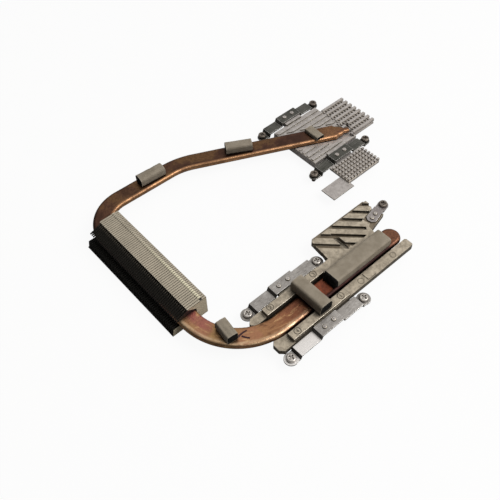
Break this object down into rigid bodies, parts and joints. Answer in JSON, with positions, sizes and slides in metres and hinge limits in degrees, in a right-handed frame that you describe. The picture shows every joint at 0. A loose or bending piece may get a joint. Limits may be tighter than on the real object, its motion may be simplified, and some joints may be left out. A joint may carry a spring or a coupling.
{
  "type": "laptop heat pipe heatsink",
  "caption": "Flattened copper heat pipe joining a cast processor block and a finned graphics plate to a stack of sheet fins, held by spring arms and captive screws, with foam gaskets.",
  "frame": {"origin": "centre of the copper contact face that lies on the processor", "axes": "+X along the spring arms towards the graphics plate, +Y along the fin stack away from the processor, +Z away from the circuit board"},
  "size_m": [0.1972, 0.1554, 0.0171],
  "materials": {
    "pipe_copper": "oxidised copper",
    "plate_copper": "milled copper",
    "fin_sheet": "plated sheet",
    "cast_block": "die cast, matt",
    "cast_plate": "die cast, matt",
    "arm_steel": "stamped",
    "dark_arm_steel": "stamped, darkened",
    "screw_steel": "plated",
    "gasket_foam": "open foam",
    "gasket_fabric": "woven conductive fabric"
  },
  "bodies": {
    "root": {"heat_pipe": "pipe_copper", "radiator_fins": "fin_sheet", "cpu_block": "cast_block", "cpu_contact_plate": "plate_copper", "cpu_front_arm": "arm_steel", "cpu_back_arm": "arm_steel", "chipset_arm": "dark_arm_steel", "gpu_plate": "cast_plate", "gpu_front_arm": "dark_arm_steel", "gpu_back_arm": "dark_arm_steel", "captive_screws": "screw_steel", "far_pad_foam": "gasket_foam", "far_pad_fabric": "gasket_fabric", "span_pad_foam": "gasket_foam", "span_pad_fabric": "gasket_fabric", "gpu_pad_foam": "gasket_foam", "gpu_pad_fabric": "gasket_fabric", "bend_pad_foam": "gasket_foam", "bend_pad_fabric": "gasket_fabric", "cross_pad_foam": "gasket_foam", "cross_pad_fabric": "gasket_fabric", "long_pad_foam": "gasket_foam", "long_pad_fabric": "gasket_fabric"}
  },
  "joints": []
}
